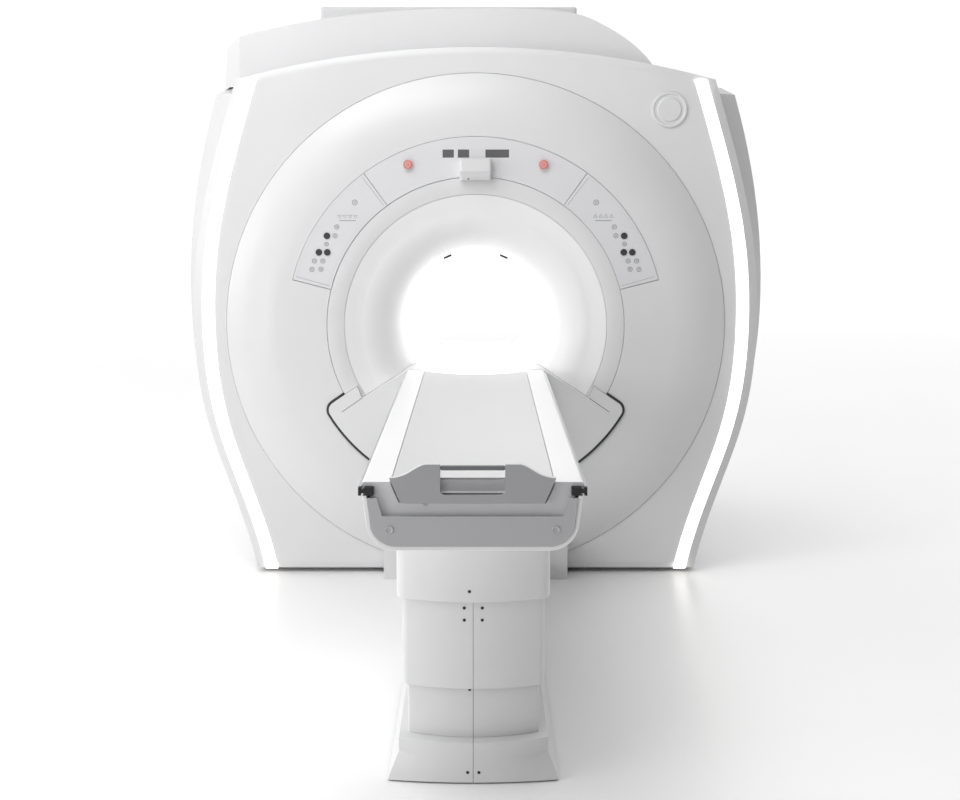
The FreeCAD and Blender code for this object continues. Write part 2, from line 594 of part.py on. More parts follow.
def hood_face(y, inset):
    """Hood section at y, inset all round but for its foot."""
    left = [V(x + inset, 0, SIDE_TOP_Z + z - (inset if z > 0 else 0)) for x, z in HOOD_LEFT]
    sweep = [V(x + (inset if x < 0 else -inset), 0, SIDE_TOP_Z + z - inset) for x, z in HOOD_SWEEP]
    curve = Part.BSplineCurve()
    curve.interpolate(sweep)
    right_foot = V(sweep[-1].x, 0, SIDE_TOP_Z)
    toe = V(-SIDE_TOP_X, 0, SIDE_TOP_Z)
    path = [sweep[-1], right_foot, toe, left[0], left[1], left[2]]
    edges = [curve.toShape()] + [line(a, b) for a, b in zip(path, path[1:])]
    return plane_xz(edges, y)


def hood_solid(inset, y0, y1):
    body = prism(hood_face(y0, inset), y1 - y0)
    left = HOOD_LEFT[0][0] - 1
    shift = inset * 0.6
    edge = HOOD_LEFT[2][0] + shift
    low, high = HOOD_SLOPE_Z
    corner = [V(left, y0 - 1, low), V(edge, y0 - 1, low), V(edge, y0, low),
              V(left, y0 + HOOD_CHAMFER + shift, low)]
    face = Part.Face(Part.makePolygon(corner + corner[:1]))
    return body.cut(face.extrude(V(0, 0, high - low)))


def rear_outline(inset, y):
    """Rear cover outline at y: the side covers' own, with their flat shoulder right across."""
    right, (xb, zb), (xt, zt) = side_curve(SIDE_SIDE, inset, 0.0)
    corner = V(SIDE_TOP_X - inset * 0.7, 0, SIDE_TOP_Z - inset)
    slope = line(V(xt, 0, zt), corner)
    top = line(corner, V(-corner.x, 0, corner.z))
    foot = line(V(xb, 0, zb), V(-xb, 0, zb))
    return plane_xz([right, mirrored(right), slope, mirrored(slope), top, foot], y)


def enclosure():
    front = COVER_BACK_Y + GAP
    side = side_solid(0.0, 0.0, front, SIDE_END_Y)
    room = side_solid(COVER_WALL, 30.0, front - 0.01, SIDE_END_Y + 1)
    side = side.cut(room).removeSplitter()
    save("right_side_cover", side)
    save("left_side_cover", mirrored(side))

    hood = hood_solid(0.0, front, SIDE_END_Y)
    cavity = hood_solid(COVER_WALL, front + COVER_WALL, SIDE_END_Y - COVER_WALL)
    vent = post(VENT_R + VENT_STEP + 3, VENT_X, VENT_Y, 2200, 2500)
    hood = hood.cut(cavity).cut(cavity.translated(V(0, 0, -COVER_WALL))).cut(vent)
    hood = hood.cut(side_solid(-NEAR, 0.0, front - 1, SIDE_END_Y + 1))
    hood = hood.cut(mirrored(side_solid(-NEAR, 0.0, front - 1, SIDE_END_Y + 1)))
    save("top_hood", max(hood.Solids, key=lambda s: s.Volume))

    x0, x1, y0, y1 = LID
    foot, crown = LID_Z
    lid = box(x0, x1, y0, y1, foot, crown)
    rounded = [e for e in lid.Edges if e.BoundBox.ZMin > crown - 1 or e.BoundBox.ZLength > 100]
    hollow = box(x0 + COVER_WALL, x1 - COVER_WALL, y0 + COVER_WALL, y1 - COVER_WALL, foot - 50,
                 crown - COVER_WALL)
    lid = lid.makeFillet(LID_ROUND, rounded).cut(hood_solid(-NEAR, front, SIDE_END_Y)).cut(hollow)
    save("top_service_box", max(lid.Solids, key=lambda s: s.Volume))

    # Rear cover: same outline as the side covers, closed by a flat back with a bevelled margin.
    straight = REAR_Y - REAR_BEVEL - SIDE_END_Y
    rim, back = rear_outline(0, REAR_Y - REAR_BEVEL), rear_outline(REAR_BEVEL, REAR_Y)
    bevel = Part.makeLoft([rim.OuterWire, back.OuterWire], True, True)
    rear = prism(rear_outline(0, SIDE_END_Y), straight).fuse(bevel)
    pocket = prism(rear_outline(COVER_WALL, SIDE_END_Y - 1), straight + 1)
    deep_pocket = prism(rear_outline(REAR_BEVEL + COVER_WALL, SIDE_END_Y - 1),
                        REAR_Y - SIDE_END_Y - COVER_WALL)
    rear = rear.cut(pocket.fuse(deep_pocket)).cut(disc(PARTING_R, SIDE_END_Y - 9, REAR_Y + 9))
    save("rear_cover", rear.removeSplitter())

    y = -FUNNEL_END_Y
    lip = BORE_R + LINER_WALL
    points = [(BORE_R, y), (BORE_R, y + 20), (PARTING_R - 4, REAR_Y + 4), (PARTING_R + 24, REAR_Y + 4),
              (PARTING_R + 24, REAR_Y), (PARTING_R, REAR_Y), (lip, y + 16), (lip, y)]
    rear_funnel = turned(points, {1: (365.0, REAR_Y - 60.0), 5: (372.0, REAR_Y - 68.0)})
    save("rear_funnel", rear_funnel)


# ---------------------------------------------------------------- table
def tray_face(inset, top, y):
    """Half round-cornered trough section, inset from the outside, closed at the top."""
    x_top, x_mid, x_low = TABLE_X - 2 - inset, TABLE_X - 12 - inset, 190.0
    z_low = TRAY_BOTTOM + inset
    mid_z = 747.0
    right = [V(x_top, 0, top), V(x_mid, 0, mid_z), V(x_low, 0, z_low)]
    left = [V(-p.x, 0, p.z) for p in right]
    dx, dz = x_mid - x_low, mid_z - z_low
    radius = (dx * dx + dz * dz) / (2 * dz)
    half_turn = math.asin(dx / radius) / 2
    bend = V(x_low + radius * math.sin(half_turn), 0, z_low + radius * (1 - math.cos(half_turn)))
    mirror_bend = V(-bend.x, 0, bend.z)
    edges = [line(left[0], right[0]), line(right[0], right[1]),
             Part.Arc(right[1], bend, right[2]).toShape(), line(right[2], left[2]),
             Part.Arc(left[2], mirror_bend, left[1]).toShape(), line(left[1], left[0])]
    face = Part.Face(Part.Wire(edges))
    face.translate(V(0, y, 0))
    return face


def cradle_face(inset, y):
    x_top, x_low = CRADLE_X - inset * 1.3, 178.0 - inset * 0.9
    top, low = 862.0 - inset, CRADLE_BOTTOM + inset
    arc = Part.Arc(V(-x_top, 0, top), V(0, 0, top - CRADLE_DIP), V(x_top, 0, top)).toShape()
    edges = [arc, line(V(x_top, 0, top), V(x_low, 0, low)), line(V(x_low, 0, low), V(-x_low, 0, low)),
             line(V(-x_low, 0, low), V(-x_top, 0, top))]
    face = Part.Face(Part.Wire(edges))
    face.translate(V(0, y, 0))
    return face


def table_body():
    front, back = TABLE_END_Y, DOCK_Y
    tray = prism(tray_face(0, TRAY_TOP, front - 10), back - front + 10)
    tray = tray.cut(prism(tray_face(TRAY_WALL, TRAY_TOP + 1, front - 11), back - front + 12))
    save("table_tray", tray)

    # Rail caps: flat top, rounded outside, an inner flange beside the cradle.
    rail = polygon_xz([(RAIL_IN, 803), (RAIL_IN, TABLE_TOP), (TABLE_X, TABLE_TOP), (TABLE_X, T_TOP),
                       (RAIL_IN + 7, T_TOP), (RAIL_IN + 7, 803)], front + 15, back)
    shoulder = [e for e in rail.Edges if e.BoundBox.XMin > TABLE_X - 1 and e.BoundBox.ZMin > TABLE_TOP - 1
                and e.BoundBox.YLength > 100]
    save("side_rails", both(rail.makeFillet(7, shoulder)))

    tee = [(T_IN - 30, TRAY_TOP), (T_IN - 30, T_TOP), (266, T_TOP), (266, 844), (276, 844), (276, T_TOP),
           (T_OUT, T_TOP), (T_OUT, TRAY_TOP), (276, TRAY_TOP), (276, 835), (266, 835), (266, TRAY_TOP)]
    save("accessory_rails", both(polygon_xz(tee, front + 3, back)))
    cap = [(T_IN, z) if x < T_IN else (x, z) for x, z in tee]
    save("rail_end_caps", both(polygon_xz(cap, front - 12, front + 3)))

    # End frame behind the apron, cut out for the cradle and for the accessory rails.
    frame = [(-TABLE_X, TABLE_TOP), (-207, TABLE_TOP), (-183, 808), (183, 808), (207, TABLE_TOP),
             (TABLE_X, TABLE_TOP), (TABLE_X, T_TOP), (T_IN - 30, T_TOP), (T_IN - 30, TRAY_TOP),
             (255, TRAY_TOP),
             (240, 745), (-240, 745), (-255, TRAY_TOP), (30 - T_IN, TRAY_TOP), (30 - T_IN, T_TOP),
             (-TABLE_X, T_TOP)]
    frame = polygon_xz(frame, front, front + 15)
    ends = [e for e in frame.Edges if abs(e.BoundBox.XMin) > TABLE_X - 1 and e.BoundBox.ZMin > TABLE_TOP - 1
            and e.BoundBox.YLength > 10 and e.BoundBox.XLength < 1]
    frame = frame.makeFillet(7, ends)
    face = box(T_IN - 31, T_IN - 1, front, front + 3, TRAY_TOP, T_TOP)
    save("end_frame", frame.fuse(face).fuse(mirrored(face)).removeSplitter())

    apron = prism(tray_face(TRAY_WALL + FIT, 823, front - 14), 14)
    notch = polygon_xz([(-237, 900), (-237, 823), (-224, 777), (224, 777), (237, 823), (237, 900)],
                       front - 20, front + 5)
    save("end_apron", apron.cut(notch).cut(tray))

    chassis = box(-188, 188, front + 30, back - 5, TRAY_BOTTOM + TRAY_WALL, 707)
    for side in (-1, 1):
        web = box(182, 188, front + 30, back - 5, 707, 803)
        runner = box(165, RAIL_IN - FIT, front + 30, back - 5, 803, RUNNER_TOP)
        runner = runner.cut(box(RAIL_IN - 15, 300, -4000, 0, 806, 820))
        for piece in (web, runner):
            chassis = chassis.fuse(piece if side > 0 else mirrored(piece))
    save("table_chassis", chassis.removeSplitter())


def cradle():
    front = TABLE_END_Y + 4
    body = prism(cradle_face(0, front), CRADLE_FAR_Y - front)
    body = body.cut(prism(cradle_face(CRADLE_WALL, front + 60), CRADLE_FAR_Y - front - 80))
    sweep = [(206, 874), (186, 876), (160, 886), (137, 900), (118, 908)]
    shoulder = Part.BSplineCurve()
    shoulder.interpolate([V(x, 0, z) for x, z in sweep])
    shoulder = shoulder.toShape()
    ends = [V(x, 0, z) for x, z in (sweep[0], (178, CRADLE_BOTTOM))]
    edges = [shoulder, mirrored(shoulder), line(*ends), mirrored(line(*ends))]
    for x, z in (sweep[-1], (178, CRADLE_BOTTOM)):
        edges.append(line(V(-x, 0, z), V(x, 0, z)))
    plate = prism(plane_xz(edges, front - 20), 20)
    slot = box(-HANDLE_X, HANDLE_X, front - 21, front - 6, HANDLE_Z, 950)
    low = [e for e in slot.Edges if e.BoundBox.ZMax < HANDLE_Z + 1 and e.BoundBox.XLength < 1]
    slot = slot.makeFillet(12, low)
    cut_down = box(-HANDLE_X, HANDLE_X, front - 8, front + 40, 872, 950)
    scoop = Part.makeCylinder(34, 2 * HANDLE_X, V(-HANDLE_X, front - 14, 862), V(1, 0, 0))
    body = body.fuse(plate).cut(slot).cut(cut_down)
    grip = box(-HANDLE_X + FIT, HANDLE_X - FIT, front - 17, front - 6, 836, 868)
    grip = grip.cut(scoop.translated(V(0, -28, -6)))
    save("cradle", body.fuse(grip).removeSplitter())


def drive():
    """Rubber wheel under the cradle, on the motor's shaft."""
    z = CRADLE_BOTTOM - NEAR - WHEEL_R
    wheel = Part.makeCylinder(WHEEL_R, 26, V(-13, WHEEL_Y, z), V(1, 0, 0))
    wheel = wheel.cut(Part.makeCylinder(SHAFT_R + 0.05, 40, V(-20, WHEEL_Y, z), V(1, 0, 0)))
    save("drive_wheel", wheel)
    motor = joined(Part.makeCylinder(SHAFT_R, 36, V(-16, WHEEL_Y, z), V(1, 0, 0)),
                   box(16, 130, WHEEL_Y - 36, WHEEL_Y + 36, 707, z + 22))
    save("drive_motor", motor)


# ---------------------------------------------------------------- pedestal
def pedestal_face(width, front, back, z, bulge=BULGE):
    """Plan of a pedestal cover: convex front, straight sides and back."""
    half = width / 2
    a, b = V(-half, front, z), V(half, front, z)
    c, d = V(half, back, z), V(-half, back, z)
    edges = [Part.Arc(a, V(0, front - bulge * width / LOWER_W, z), b).toShape(),
             line(b, c), line(c, d), line(d, a)]
    return Part.Face(Part.Wire(edges))


def rounded_prism(face, height, radius):
    """Upright prism with its front corners rounded."""
    body = face.extrude(V(0, 0, height))
    back = body.BoundBox.YMax
    corners = [e for e in body.Edges if e.BoundBox.ZLength > height - 1 and e.BoundBox.YMax < back - 1]
    return body.makeFillet(radius, corners)


def pedestal_tube(step, z0, z1):
    """Cover wall, so many steps outside the lower cover."""
    grow = step * STEP
    width, front, back = LOWER_W + 2 * grow, LOWER_FRONT - grow, LOWER_BACK + grow
    wall = PEDESTAL_WALL
    outer = rounded_prism(pedestal_face(width, front, back, z0), z1 - z0, CORNER_R + grow)
    inner = pedestal_face(width - 2 * wall, front + wall, back - wall, z0 - 1)
    return outer.cut(rounded_prism(inner, z1 - z0 + 2, CORNER_R + grow - wall))


def base_solid(inset, z_top):
    """Base cover: flared skirt, upright ledge, flat top."""
    width, front, back = BASE_W - 2 * inset, BASE_FRONT + inset, BASE_BACK - inset
    low = pedestal_face(width, front, back, BASE_FLOOR_GAP - 0.01 * inset, BASE_BULGE)
    mid = pedestal_face(LEDGE_W - 2 * inset, LEDGE_FRONT + inset, back, LEDGE_Z)
    skirt = Part.makeLoft([low.OuterWire, mid.OuterWire], True, True)
    return skirt.fuse(mid.extrude(V(0, 0, z_top - LEDGE_Z)))


def halves(shape):
    """Left and right half of a cover, split down the middle by a fine joint."""
    joint = box(-FIT, FIT, -4000, 0, -10, 1000)
    return Part.makeCompound(shape.cut(joint).Solids)


def square_tube(width, y, z0, z1):
    half, core = width / 2, width / 2 - COLUMN_WALL
    tube = box(-half, half, y - half, y + half, z0, z1)
    return tube.cut(box(-core, core, y - core, y + core, z0 - 1, z1 + 1))


def pedestal():
    half = PLATE_W / 2
    plate = box(-half, half, PLATE_FRONT, FRAME_Y - 14, 0, PLATE_T)
    for x in (-TABLE_BOLT_X, TABLE_BOLT_X):
        for y in TABLE_BOLT_Y:
            plate = plate.cut(post(TABLE_BOLT_R, x, y, -1, PLATE_T + 1))
    save("table_base_plate", plate)

    top = LOWER_Z[0]
    well = pedestal_face(LOWER_W - 24, LOWER_FRONT + 12, LOWER_BACK - 12, 50).extrude(V(0, 0, 100))
    cover = base_solid(0, top).cut(base_solid(PEDESTAL_WALL, top - PEDESTAL_WALL)).cut(well)
    cover = cover.cut(box(-half - FIT, half + FIT, BASE_BACK - 50, BASE_BACK + 50, 0, PLATE_T + FIT))
    save("base_covers", halves(cover))
    save("lower_covers", halves(pedestal_tube(0, *LOWER_Z)))
    save("middle_covers", halves(pedestal_tube(1, *MIDDLE_Z)))
    save("upper_cover", pedestal_tube(2, *UPPER_Z))

    # Lifting columns, three telescoping stages each.
    middle_w = COLUMN_W - 2 * COLUMN_WALL - 2 * COLUMN_GAP
    inner_w = middle_w - 2 * COLUMN_WALL - 2 * COLUMN_GAP
    y_low, y_high = COLUMN_Y
    low = box(-150, 150, y_low - 100, y_high + 100, PLATE_T, PLATE_T + 8)
    top = box(-150, 150, y_low - 100, y_high + 100, TRAY_BOTTOM - 8, TRAY_BOTTOM)
    bracket_z = 420.0
    grow, wall = STEP, PEDESTAL_WALL + FIT
    shelf = pedestal_face(LOWER_W + 2 * grow - 2 * wall, LOWER_FRONT - grow + wall,
                          LOWER_BACK + grow - wall, bracket_z)
    middle = rounded_prism(shelf, 8, CORNER_R + grow - wall)
    for y in COLUMN_Y:
        half = middle_w / 2
        bore_box = box(-half, half, y - half, y + half, bracket_z - 1, bracket_z + 9)
        middle = middle.cut(bore_box).fuse(square_tube(middle_w, y, 200, bracket_z + 8))
        low = low.fuse(square_tube(COLUMN_W, y, PLATE_T + 8, 270))
        top = top.fuse(square_tube(inner_w, y, 360, TRAY_BOTTOM - 8))
    save("column_base_stage", low.removeSplitter())
    save("column_middle_stage", middle.removeSplitter())
    save("column_top_stage", top.removeSplitter())


def main():
    magnet()
    front_covers(bore())
    enclosure()
    table_body()
    cradle()
    drive()
    pedestal()


main()
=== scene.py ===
import json
import math

import bmesh
import bpy
from mathutils import Matrix, Vector
from mathutils.bvhtree import BVHTree


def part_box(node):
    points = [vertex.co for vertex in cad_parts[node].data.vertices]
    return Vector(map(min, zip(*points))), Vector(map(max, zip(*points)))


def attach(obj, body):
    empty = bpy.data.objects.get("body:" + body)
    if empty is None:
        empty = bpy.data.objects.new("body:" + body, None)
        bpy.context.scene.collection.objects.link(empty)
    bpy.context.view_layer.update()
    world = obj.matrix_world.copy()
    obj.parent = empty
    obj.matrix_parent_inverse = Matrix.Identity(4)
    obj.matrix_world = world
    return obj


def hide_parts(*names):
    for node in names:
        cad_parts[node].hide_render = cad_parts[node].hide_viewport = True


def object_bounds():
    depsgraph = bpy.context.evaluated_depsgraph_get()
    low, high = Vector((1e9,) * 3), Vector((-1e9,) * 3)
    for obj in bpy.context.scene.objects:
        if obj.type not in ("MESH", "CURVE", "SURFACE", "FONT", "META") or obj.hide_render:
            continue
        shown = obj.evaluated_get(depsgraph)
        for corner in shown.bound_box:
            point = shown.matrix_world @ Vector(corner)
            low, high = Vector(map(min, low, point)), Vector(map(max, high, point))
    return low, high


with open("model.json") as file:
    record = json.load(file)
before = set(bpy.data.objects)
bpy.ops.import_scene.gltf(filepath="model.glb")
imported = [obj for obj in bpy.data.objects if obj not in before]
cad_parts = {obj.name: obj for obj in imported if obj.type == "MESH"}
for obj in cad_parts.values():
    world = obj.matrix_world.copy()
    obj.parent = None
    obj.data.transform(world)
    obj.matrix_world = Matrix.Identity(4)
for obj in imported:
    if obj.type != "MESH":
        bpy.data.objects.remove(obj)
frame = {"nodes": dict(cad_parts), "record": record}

bl_info = {
    "name": "Scanner Finishes",
    "version": (1, 0, 0),
    "blender": (4, 5, 0),
    "location": "View3D > Sidebar > Scanner",
    "description": "Finishes the covers, bore, table and controls of a magnet scanner and lights them",
    "category": "Object",
}

CAD_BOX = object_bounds()
MM = 0.001
AXIS_Z = (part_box("bore_liner")[0].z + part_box("bore_liner")[1].z) / 2      # height of the bore's axis


# ---------------------------------------------------------------- settings
class ScannerSizes(bpy.types.PropertyGroup):
    edge_round: bpy.props.FloatProperty(
        name="Edge rounding", description="Radius on the moulded edges of covers",
        default=1.6 * MM, min=0.0, max=0.01, unit="LENGTH")
    symbol_height: bpy.props.FloatProperty(
        name="Symbol height", description="Height of one printed key symbol",
        default=22 * MM, min=0.004, max=0.04, unit="LENGTH")
    print_lift: bpy.props.FloatProperty(
        name="Print thickness", description="How far the print stands on the panel",
        default=0.4 * MM, min=0.0001, max=0.002, unit="LENGTH")
    screw_radius: bpy.props.FloatProperty(
        name="Cover screw radius", description="Radius of a pedestal cover screw's head",
        default=4.2 * MM, min=0.001, max=0.01, unit="LENGTH")
    apron_screw_radius: bpy.props.FloatProperty(
        name="Apron screw radius", description="Radius of the two screws on the end apron",
        default=10 * MM, min=0.003, max=0.03, unit="LENGTH")


class ScannerColours(bpy.types.PropertyGroup):
    cover: bpy.props.StringProperty(name="Cover paint", description="sRGB hex", default="#E2E2E3")
    bore: bpy.props.StringProperty(name="Bore gelcoat", description="sRGB hex", default="#F3F3F3")
    panel: bpy.props.StringProperty(name="Panel overlay", description="sRGB hex", default="#E0E0E2")
    table: bpy.props.StringProperty(name="Table plastic", description="sRGB hex", default="#EDEDED")
    cradle: bpy.props.StringProperty(name="Cradle top", description="sRGB hex", default="#D0D0D1")
    # The two end greys are partly the plastic's own grey and partly painted shade on the table's end faces.
    cradle_end: bpy.props.StringProperty(name="Cradle end", description="sRGB hex", default="#A6A6A8")
    frame_end: bpy.props.StringProperty(name="End frame", description="sRGB hex", default="#CBCBCD")
    apron: bpy.props.StringProperty(name="Apron plastic", description="sRGB hex", default="#B4B4B6")
    window: bpy.props.StringProperty(name="Smoked window", description="sRGB hex", default="#6A6A6C")
    button: bpy.props.StringProperty(name="Push button", description="sRGB hex", default="#3C3C3E")
    stop: bpy.props.StringProperty(name="Stop button", description="sRGB hex", default="#E6A9A4")
    # The key print grey also paints the shade along the sill's creases.
    print_and_crease_shade_grey: bpy.props.StringProperty(name="Key print", description="sRGB hex", default="#747477")
    light: bpy.props.StringProperty(name="Light strip", description="sRGB hex", default="#FFFDF4")
    floor: bpy.props.StringProperty(name="Floor", description="sRGB hex", default="#FAFAFA")


class ScannerRoom(bpy.types.PropertyGroup):
    strip_power: bpy.props.FloatProperty(
        name="Strip brightness", description="Emission of the two light strips", default=1.6, min=0.0,
        max=20.0)
    lens: bpy.props.FloatProperty(
        name="Lens", description="Camera focal length", default=51.877, min=10.0, max=200.0, unit="CAMERA")
    eye_height: bpy.props.FloatProperty(
        name="Eye height", description="Camera height above the floor", default=1.575, min=0.1, max=5.0,
        unit="LENGTH")
    distance: bpy.props.FloatProperty(
        name="Distance", description="Camera distance from the isocentre along the floor", default=6.418,
        min=1.0, max=20.0, unit="LENGTH")


def sizes():
    return bpy.context.scene.scanner_sizes


def colours():
    return bpy.context.scene.scanner_colours


def room():
    return bpy.context.scene.scanner_room


# ---------------------------------------------------------------- material helpers
def linear(code):
    """sRGB hex to linear RGBA."""
    parts = [int(code.lstrip("#")[i:i + 2], 16) / 255 for i in (0, 2, 4)]
    return tuple(p / 12.92 if p <= 0.04045 else ((p + 0.055) / 1.055) ** 2.4 for p in parts) + (1.0,)


def node(tree, kind, links=(), **settings):
    """Adds a node, sets its properties or sockets, and links (socket name, source socket) pairs."""
    made = tree.nodes.new(kind)
    for key, value in settings.items():
        name = key.replace("_", " ")
        if hasattr(made, key):
            setattr(made, key, value)
        else:
            made.inputs[name].default_value = value
    for name, source in links:
        tree.links.new(source, made.inputs[name])
    return made


def new_material(name):
    material = bpy.data.materials.new(name)
    material.use_nodes = True
    tree = material.node_tree
    return material, tree, tree.nodes["Principled BSDF"]


# A surface's tone and gloss drift over about 60 cm, between these two levels of a slow noise.
DRIFT_SCALE = 1.7
DRIFT_FROM, DRIFT_TO = 0.3, 0.7
GRAIN_STRENGTH = 0.35
COAT_ROUGHNESS = 0.2


def surface(name, code, roughness, grain_mm, grain_depth, drift=0.02, coat=0.0, metallic=0.0,
            rough_drift=0.05, glow=0.0):
    """A moulded, painted or cast surface. Its grain's width and depth are in millimetres."""
    material, tree, shader = new_material(name)
    where = node(tree, "ShaderNodeTexCoord")
    place = where.outputs["Object"]
    slow = node(tree, "ShaderNodeTexNoise", [("Vector", place)], Scale=DRIFT_SCALE, Detail=3.0)
    base = linear(code)
    low = tuple(c * (1 - drift) for c in base[:3]) + (1.0,)
    high = tuple(min(1.0, c * (1 + drift)) for c in base[:3]) + (1.0,)
    ramp = node(tree, "ShaderNodeValToRGB", [("Fac", slow.outputs["Fac"])])
    for stop, position, colour in zip(ramp.color_ramp.elements, (DRIFT_FROM, DRIFT_TO), (low, high)):
        stop.position, stop.color = position, colour
    gloss = node(tree, "ShaderNodeMapRange", [("Value", slow.outputs["Fac"])], From_Min=DRIFT_FROM,
                 From_Max=DRIFT_TO, To_Min=roughness - rough_drift, To_Max=roughness + rough_drift)
    tree.links.new(ramp.outputs["Color"], shader.inputs["Base Color"])
    tree.links.new(gloss.outputs["Result"], shader.inputs["Roughness"])
    if grain_depth:
        fine = node(tree, "ShaderNodeTexNoise", [("Vector", place)], Scale=1.0 / (grain_mm * MM), Detail=2.0)
        bump = node(tree, "ShaderNodeBump", [("Height", fine.outputs["Fac"])], Strength=GRAIN_STRENGTH,
                    Distance=grain_depth * MM)
        tree.links.new(bump.outputs["Normal"], shader.inputs["Normal"])
    shader.inputs["Metallic"].default_value = metallic
    if coat:
        shader.inputs["Coat Weight"].default_value = coat
        shader.inputs["Coat Roughness"].default_value = COAT_ROUGHNESS
    # A glow is painted light: it makes a part that is no lamp shine in its own colour.
    if glow:
        shader.inputs["Emission Color"].default_value = base
        shader.inputs["Emission Strength"].default_value = glow
    return material


def lit(name, code, strength):
    """Opal diffuser with its lamps on, a little uneven along its length."""
    material, tree, shader = new_material(name)
    where = node(tree, "ShaderNodeTexCoord")
    uneven = node(tree, "ShaderNodeTexNoise", [("Vector", where.outputs["Object"])], Scale=9.0, Detail=1.0)
    power = node(tree, "ShaderNodeMapRange", [("Value", uneven.outputs["Fac"])], To_Min=strength * 0.9,
                 To_Max=strength * 1.1)
    shader.inputs["Base Color"].default_value = linear(code)
    shader.inputs["Roughness"].default_value = 0.3
    shader.inputs["Emission Color"].default_value = linear(code)
    tree.links.new(power.outputs["Result"], shader.inputs["Emission Strength"])
    return material


MADE = {}


def finish_of(name):
    """Each finish is made once, on first use."""
    if name not in MADE:
        MADE[name] = FINISHES[name]()
    return MADE[name]


FINISHES = {
    # Two-pack satin paint on moulded polyurethane covers: a faint orange peel about 3 mm across.
    "satin_cover_paint": lambda: surface("satin_cover_paint", colours().cover, 0.36, 3.0, 0.05, coat=0.12),
    # Smooth gelcoat, glossier than the covers.
    "bore_gelcoat": lambda: surface("bore_gelcoat", colours().bore, 0.34, 4.0, 0.03, drift=0.004,
                                    rough_drift=0.01),
    # Painted light: the liner and the bore bridge glow white, standing for the light inside the bore; neither
    # is a lamp.
    "liner_painted_glow": lambda: surface("liner_painted_glow", colours().bore, 0.4, 4.0, 0.03, drift=0.004, glow=0.5),
    # Printed polyester overlay with a fine velvet grain; drawn at 1.5 mm so that it shows.
    "polyester_overlay": lambda: surface("polyester_overlay", colours().panel, 0.46, 1.5, 0.06),
    # Vacuum formed ABS with a leather-fine grain.
    "table_abs": lambda: surface("table_abs", colours().table, 0.42, 2.0, 0.06, drift=0.012),
    "apron_abs": lambda: surface("apron_abs", colours().apron, 0.45, 2.0, 0.08),
    # Darker end greys: partly the plastic's own grey, partly painted shade on the faces that look out of the
    # table's end.
    "cradle_end_grey_and_shade": lambda: surface("cradle_end_grey_and_shade", colours().cradle_end, 0.45, 2.0, 0.08),
    "frame_end_grey_and_shade": lambda: surface("frame_end_grey_and_shade", colours().frame_end, 0.45, 2.0, 0.08),
    # Glass-filled laminate with a matt gelcoat, greyer than the rails beside it.
    "cradle_laminate": lambda: surface("cradle_laminate", colours().cradle, 0.5, 2.5, 0.06, drift=0.012),
    "stop_ink": lambda: surface("stop_ink", "#C4504A", 0.5, 1.0, 0.0),
    # Smoked acrylic window over the display.
    "smoked_acrylic": lambda: surface("smoked_acrylic", colours().window, 0.12, 6.0, 0.0, rough_drift=0.02),
    "button_nylon": lambda: surface("button_nylon", colours().button, 0.4, 1.2, 0.05),
    "stop_polycarbonate": lambda: surface("stop_polycarbonate", colours().stop, 0.25, 2.0, 0.0),
    # Key print, and painted shade along the sill's creases.
    "print_and_crease_shade_ink": lambda: surface("print_and_crease_shade_ink", colours().print_and_crease_shade_grey, 0.5, 1.0, 0.0),
    # Nitrile sealing strip, matt with a fine bloom.
    "nitrile_rubber": lambda: surface("nitrile_rubber", "#3A3A3C", 0.7, 1.2, 0.1, drift=0.1),
    "black_nylon": lambda: surface("black_nylon", "#1B1B1C", 0.5, 1.5, 0.08, drift=0.08),
    "opal_strip": lambda: lit("opal_strip", colours().light, room().strip_power),
    "opal_bore": lambda: lit("opal_bore", "#FFFFFF", 4.0),
    # Bare and coated metals.
    "satin_aluminium": lambda: surface("satin_aluminium", "#C9CBCE", 0.34, 1.0, 0.03, metallic=1.0),
    "stainless_steel": lambda: surface("stainless_steel", "#B4B2AF", 0.3, 1.0, 0.03, metallic=1.0),
    "powder_coated_steel": lambda: surface("powder_coated_steel", "#6E7073", 0.5, 1.8, 0.1),
    "vessel_paint": lambda: surface("vessel_paint", "#C8CACD", 0.4, 2.5, 0.08),
    "copper_foil": lambda: surface("copper_foil", "#D79A73", 0.3, 1.0, 0.02, metallic=1.0),
    "cast_epoxy": lambda: surface("cast_epoxy", "#B8A06A", 0.4, 3.0, 0.08, drift=0.06),
    # Seamless poured resin floor, rolled smooth and hardly glossy.
    "poured_floor": lambda: surface("poured_floor", colours().floor, 0.32, 40.0, 0.0, drift=0.004,
                                    rough_drift=0.02),
}


# ---------------------------------------------------------------- mesh helpers
SHARP_ANGLE = 32.0      # degrees between two faces from which their edge is rounded, not smoothed
MERGE, SLIVER = 0.02 * MM, 0.005 * MM
FLAT_ANGLE = 0.06       # degrees under which two faces count as one


def put(obj, body, slot_name, *replaced):
    """Hands a finished piece to its CAD body."""
    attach(obj, body)
    if replaced:
        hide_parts(*replaced)
    return obj


def make_object(name, mesh, finish):
    obj = bpy.data.objects.new(name, mesh)
    bpy.context.scene.collection.objects.link(obj)
    obj.data.materials.clear()
    obj.data.materials.append(finish_of(finish))
    return obj


def body_of_node(name):
    for body, members in frame["record"]["behaviour"]["bodies"].items():
        if name in members:
            return body
    raise RuntimeError("no body holds " + name)


def slot_of_node(name):
    for part in frame["record"]["subparts"]:
        if part["node"] == name:
            return part["material_slot"]
    raise RuntimeError("no slot for " + name)


